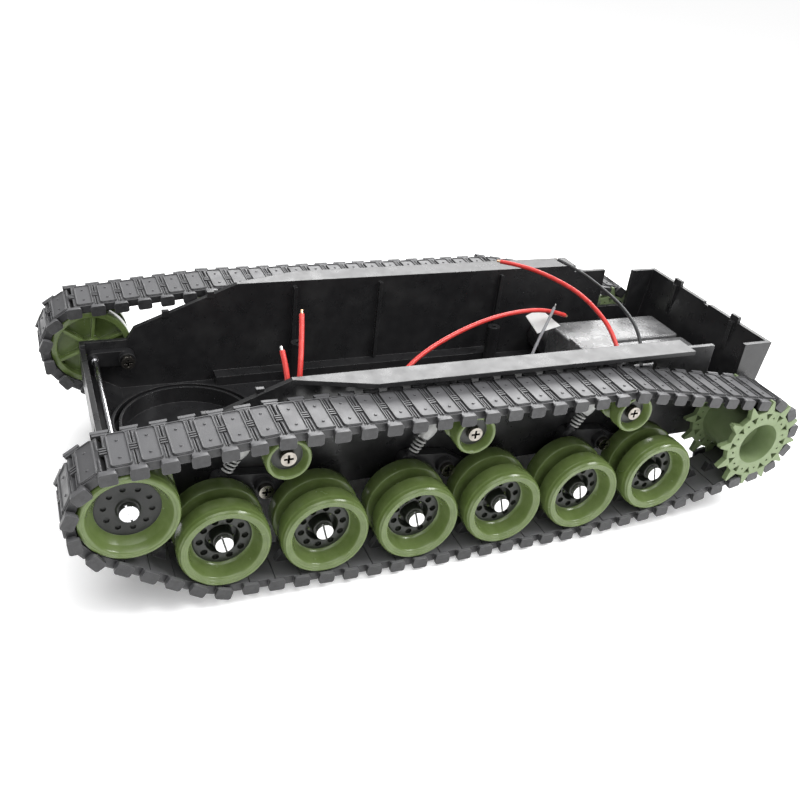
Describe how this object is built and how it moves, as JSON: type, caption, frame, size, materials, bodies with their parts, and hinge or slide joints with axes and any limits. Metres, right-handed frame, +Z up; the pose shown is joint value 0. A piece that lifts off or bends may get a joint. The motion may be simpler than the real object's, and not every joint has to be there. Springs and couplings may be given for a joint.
{
  "type": "tracked tank chassis",
  "caption": "Open-topped tracked chassis for a robotics kit: black hull tub, sprung rocker bogies, olive wheels, linked tracks, rear drive sprockets and loose wires.",
  "frame": {"origin": "on the ground, midway between the tracks' foremost and rearmost points and midway between the two tracks", "axes": "+X forwards towards the idlers, +Y to the chassis's left, +Z up"},
  "size_m": [0.2724, 0.1298, 0.0794],
  "materials": {
    "hull_black": "semi-gloss moulded",
    "track_charcoal": "satin moulded",
    "wheel_olive": "semi-gloss moulded",
    "sprocket_green": "matte moulded",
    "arm_grey": "satin moulded",
    "barrel_grey": "satin moulded",
    "bracket_black": "satin moulded",
    "cover_smoky": "smoky translucent",
    "spring_steel": "drawn wire",
    "axle_steel": "bright turned",
    "shaft_steel": "turned",
    "pin_steel": "bright plated",
    "screw_nickel": "bright plated",
    "motor_steel": "drawn can",
    "wire_red": "satin insulation",
    "wire_black": "satin insulation",
    "wire_grey": "satin insulation",
    "tag_white": "semi-gloss film"
  },
  "bodies": {
    "chassis": {"hull": "hull_black", "shock_barrels": "barrel_grey", "motors": "motor_steel", "idler_axle": "axle_steel", "idler_tensioners": "bracket_black", "pan_head_screws": "screw_nickel", "wire_tag": "tag_white", "motor_wire_red": "wire_red", "motor_wire_black": "wire_black", "battery_wire_red": "wire_red", "signal_wire_grey": "wire_grey", "short_lead_red": "wire_red", "tall_lead_red": "wire_red", "gearbox_left": "cover_smoky", "gearbox_right": "cover_smoky", "track_left": "track_charcoal", "track_right": "track_charcoal"},
    "sprocket_left": {"sprocket_left": "sprocket_green", "output_shaft_left": "shaft_steel"},
    "idler_left": {"idler_left": "wheel_olive"},
    "bogie_left_1": {"bogie_arm_left_1": "arm_grey", "wheel_pins_left_1": "pin_steel", "shock_spring_left_1": "spring_steel"},
    "road_wheel_left_1": {"road_wheel_left_1": "wheel_olive"},
    "road_wheel_left_2": {"road_wheel_left_2": "wheel_olive"},
    "return_roller_left_1": {"return_roller_left_1": "wheel_olive"},
    "bogie_left_2": {"bogie_arm_left_2": "arm_grey", "wheel_pins_left_2": "pin_steel", "shock_spring_left_2": "spring_steel"},
    "road_wheel_left_3": {"road_wheel_left_3": "wheel_olive"},
    "road_wheel_left_4": {"road_wheel_left_4": "wheel_olive"},
    "return_roller_left_2": {"return_roller_left_2": "wheel_olive"},
    "bogie_left_3": {"bogie_arm_left_3": "arm_grey", "wheel_pins_left_3": "pin_steel", "shock_spring_left_3": "spring_steel"},
    "road_wheel_left_5": {"road_wheel_left_5": "wheel_olive"},
    "road_wheel_left_6": {"road_wheel_left_6": "wheel_olive"},
    "return_roller_left_3": {"return_roller_left_3": "wheel_olive"},
    "sprocket_right": {"sprocket_right": "sprocket_green", "output_shaft_right": "shaft_steel"},
    "idler_right": {"idler_right": "wheel_olive"},
    "bogie_right_1": {"bogie_arm_right_1": "arm_grey", "wheel_pins_right_1": "pin_steel", "shock_spring_right_1": "spring_steel"},
    "road_wheel_right_1": {"road_wheel_right_1": "wheel_olive"},
    "road_wheel_right_2": {"road_wheel_right_2": "wheel_olive"},
    "return_roller_right_1": {"return_roller_right_1": "wheel_olive"},
    "bogie_right_2": {"bogie_arm_right_2": "arm_grey", "wheel_pins_right_2": "pin_steel", "shock_spring_right_2": "spring_steel"},
    "road_wheel_right_3": {"road_wheel_right_3": "wheel_olive"},
    "road_wheel_right_4": {"road_wheel_right_4": "wheel_olive"},
    "return_roller_right_2": {"return_roller_right_2": "wheel_olive"},
    "bogie_right_3": {"bogie_arm_right_3": "arm_grey", "wheel_pins_right_3": "pin_steel", "shock_spring_right_3": "spring_steel"},
    "road_wheel_right_5": {"road_wheel_right_5": "wheel_olive"},
    "road_wheel_right_6": {"road_wheel_right_6": "wheel_olive"},
    "return_roller_right_3": {"return_roller_right_3": "wheel_olive"}
  },
  "joints": [
    {"name": "sprocket_left_spin", "type": "hinge", "parent": "chassis", "child": "sprocket_left", "pos_m": [-0.1164, 0.0535, 0.0318], "axis": [0, 1, 0], "continuous": true, "deforming": ["track_left"]},
    {"name": "idler_left_spin", "type": "hinge", "parent": "chassis", "child": "idler_left", "pos_m": [0.1164, 0.0535, 0.0389], "axis": [0, 1, 0], "continuous": true},
    {"name": "bogie_left_1_rock", "type": "hinge", "parent": "chassis", "child": "bogie_left_1", "pos_m": [0.0726, 0.042, 0.03], "axis": [0, 1, 0], "range_deg": [-3, 3], "stiffness_Nm_per_rad": 0.12, "deforming": ["shock_spring_left_1"]},
    {"name": "road_wheel_left_1_spin", "type": "hinge", "parent": "bogie_left_1", "child": "road_wheel_left_1", "pos_m": [0.08885, 0.0535, 0.0218], "axis": [0, 1, 0], "continuous": true},
    {"name": "road_wheel_left_2_spin", "type": "hinge", "parent": "bogie_left_1", "child": "road_wheel_left_2", "pos_m": [0.05635, 0.0535, 0.0202], "axis": [0, 1, 0], "continuous": true},
    {"name": "return_roller_left_1_spin", "type": "hinge", "parent": "chassis", "child": "return_roller_left_1", "pos_m": [0.0696, 0.0535, 0.0504], "axis": [0, 1, 0], "continuous": true},
    {"name": "bogie_left_2_rock", "type": "hinge", "parent": "chassis", "child": "bogie_left_2", "pos_m": [0.0076, 0.042, 0.028], "axis": [0, 1, 0], "range_deg": [-3, 3], "stiffness_Nm_per_rad": 0.12, "deforming": ["shock_spring_left_2"]},
    {"name": "road_wheel_left_3_spin", "type": "hinge", "parent": "bogie_left_2", "child": "road_wheel_left_3", "pos_m": [0.02385, 0.0535, 0.019], "axis": [0, 1, 0], "continuous": true},
    {"name": "road_wheel_left_4_spin", "type": "hinge", "parent": "bogie_left_2", "child": "road_wheel_left_4", "pos_m": [-0.00865, 0.0535, 0.019], "axis": [0, 1, 0], "continuous": true},
    {"name": "return_roller_left_2_spin", "type": "hinge", "parent": "chassis", "child": "return_roller_left_2", "pos_m": [0.0066, 0.0535, 0.0504], "axis": [0, 1, 0], "continuous": true},
    {"name": "bogie_left_3_rock", "type": "hinge", "parent": "chassis", "child": "bogie_left_3", "pos_m": [-0.0574, 0.042, 0.0294], "axis": [0, 1, 0], "range_deg": [-3, 3], "stiffness_Nm_per_rad": 0.12, "deforming": ["shock_spring_left_3"]},
    {"name": "road_wheel_left_5_spin", "type": "hinge", "parent": "bogie_left_3", "child": "road_wheel_left_5", "pos_m": [-0.04115, 0.0535, 0.019], "axis": [0, 1, 0], "continuous": true},
    {"name": "road_wheel_left_6_spin", "type": "hinge", "parent": "bogie_left_3", "child": "road_wheel_left_6", "pos_m": [-0.07365, 0.0535, 0.0218], "axis": [0, 1, 0], "continuous": true},
    {"name": "return_roller_left_3_spin", "type": "hinge", "parent": "chassis", "child": "return_roller_left_3", "pos_m": [-0.0564, 0.0535, 0.0504], "axis": [0, 1, 0], "continuous": true},
    {"name": "sprocket_right_spin", "type": "hinge", "parent": "chassis", "child": "sprocket_right", "pos_m": [-0.1164, -0.0535, 0.0318], "axis": [0, 1, 0], "continuous": true, "deforming": ["track_right"]},
    {"name": "idler_right_spin", "type": "hinge", "parent": "chassis", "child": "idler_right", "pos_m": [0.1164, -0.0535, 0.0389], "axis": [0, 1, 0], "continuous": true},
    {"name": "bogie_right_1_rock", "type": "hinge", "parent": "chassis", "child": "bogie_right_1", "pos_m": [0.0726, -0.042, 0.03], "axis": [0, 1, 0], "range_deg": [-3, 3], "stiffness_Nm_per_rad": 0.12, "deforming": ["shock_spring_right_1"]},
    {"name": "road_wheel_right_1_spin", "type": "hinge", "parent": "bogie_right_1", "child": "road_wheel_right_1", "pos_m": [0.08885, -0.0535, 0.0218], "axis": [0, 1, 0], "continuous": true},
    {"name": "road_wheel_right_2_spin", "type": "hinge", "parent": "bogie_right_1", "child": "road_wheel_right_2", "pos_m": [0.05635, -0.0535, 0.0202], "axis": [0, 1, 0], "continuous": true},
    {"name": "return_roller_right_1_spin", "type": "hinge", "parent": "chassis", "child": "return_roller_right_1", "pos_m": [0.0696, -0.0535, 0.0504], "axis": [0, 1, 0], "continuous": true},
    {"name": "bogie_right_2_rock", "type": "hinge", "parent": "chassis", "child": "bogie_right_2", "pos_m": [0.0076, -0.042, 0.028], "axis": [0, 1, 0], "range_deg": [-3, 3], "stiffness_Nm_per_rad": 0.12, "deforming": ["shock_spring_right_2"]},
    {"name": "road_wheel_right_3_spin", "type": "hinge", "parent": "bogie_right_2", "child": "road_wheel_right_3", "pos_m": [0.02385, -0.0535, 0.019], "axis": [0, 1, 0], "continuous": true},
    {"name": "road_wheel_right_4_spin", "type": "hinge", "parent": "bogie_right_2", "child": "road_wheel_right_4", "pos_m": [-0.00865, -0.0535, 0.019], "axis": [0, 1, 0], "continuous": true},
    {"name": "return_roller_right_2_spin", "type": "hinge", "parent": "chassis", "child": "return_roller_right_2", "pos_m": [0.0066, -0.0535, 0.0504], "axis": [0, 1, 0], "continuous": true},
    {"name": "bogie_right_3_rock", "type": "hinge", "parent": "chassis", "child": "bogie_right_3", "pos_m": [-0.0574, -0.042, 0.0294], "axis": [0, 1, 0], "range_deg": [-3, 3], "stiffness_Nm_per_rad": 0.12, "deforming": ["shock_spring_right_3"]},
    {"name": "road_wheel_right_5_spin", "type": "hinge", "parent": "bogie_right_3", "child": "road_wheel_right_5", "pos_m": [-0.04115, -0.0535, 0.019], "axis": [0, 1, 0], "continuous": true},
    {"name": "road_wheel_right_6_spin", "type": "hinge", "parent": "bogie_right_3", "child": "road_wheel_right_6", "pos_m": [-0.07365, -0.0535, 0.0218], "axis": [0, 1, 0], "continuous": true},
    {"name": "return_roller_right_3_spin", "type": "hinge", "parent": "chassis", "child": "return_roller_right_3", "pos_m": [-0.0564, -0.0535, 0.0504], "axis": [0, 1, 0], "continuous": true}
  ],
  "couplings": [
    {"joint": "idler_left_spin", "follows": "sprocket_left_spin", "ratio": 1.028},
    {"joint": "road_wheel_left_1_spin", "follows": "sprocket_left_spin", "ratio": 1.083},
    {"joint": "road_wheel_left_2_spin", "follows": "sprocket_left_spin", "ratio": 1.083},
    {"joint": "return_roller_left_1_spin", "follows": "sprocket_left_spin", "ratio": 2.152},
    {"joint": "road_wheel_left_3_spin", "follows": "sprocket_left_spin", "ratio": 1.083},
    {"joint": "road_wheel_left_4_spin", "follows": "sprocket_left_spin", "ratio": 1.083},
    {"joint": "return_roller_left_2_spin", "follows": "sprocket_left_spin", "ratio": 2.152},
    {"joint": "road_wheel_left_5_spin", "follows": "sprocket_left_spin", "ratio": 1.083},
    {"joint": "road_wheel_left_6_spin", "follows": "sprocket_left_spin", "ratio": 1.083},
    {"joint": "return_roller_left_3_spin", "follows": "sprocket_left_spin", "ratio": 2.152},
    {"joint": "idler_right_spin", "follows": "sprocket_right_spin", "ratio": 1.028},
    {"joint": "road_wheel_right_1_spin", "follows": "sprocket_right_spin", "ratio": 1.083},
    {"joint": "road_wheel_right_2_spin", "follows": "sprocket_right_spin", "ratio": 1.083},
    {"joint": "return_roller_right_1_spin", "follows": "sprocket_right_spin", "ratio": 2.152},
    {"joint": "road_wheel_right_3_spin", "follows": "sprocket_right_spin", "ratio": 1.083},
    {"joint": "road_wheel_right_4_spin", "follows": "sprocket_right_spin", "ratio": 1.083},
    {"joint": "return_roller_right_2_spin", "follows": "sprocket_right_spin", "ratio": 2.152},
    {"joint": "road_wheel_right_5_spin", "follows": "sprocket_right_spin", "ratio": 1.083},
    {"joint": "road_wheel_right_6_spin", "follows": "sprocket_right_spin", "ratio": 1.083},
    {"joint": "return_roller_right_3_spin", "follows": "sprocket_right_spin", "ratio": 2.152}
  ]
}
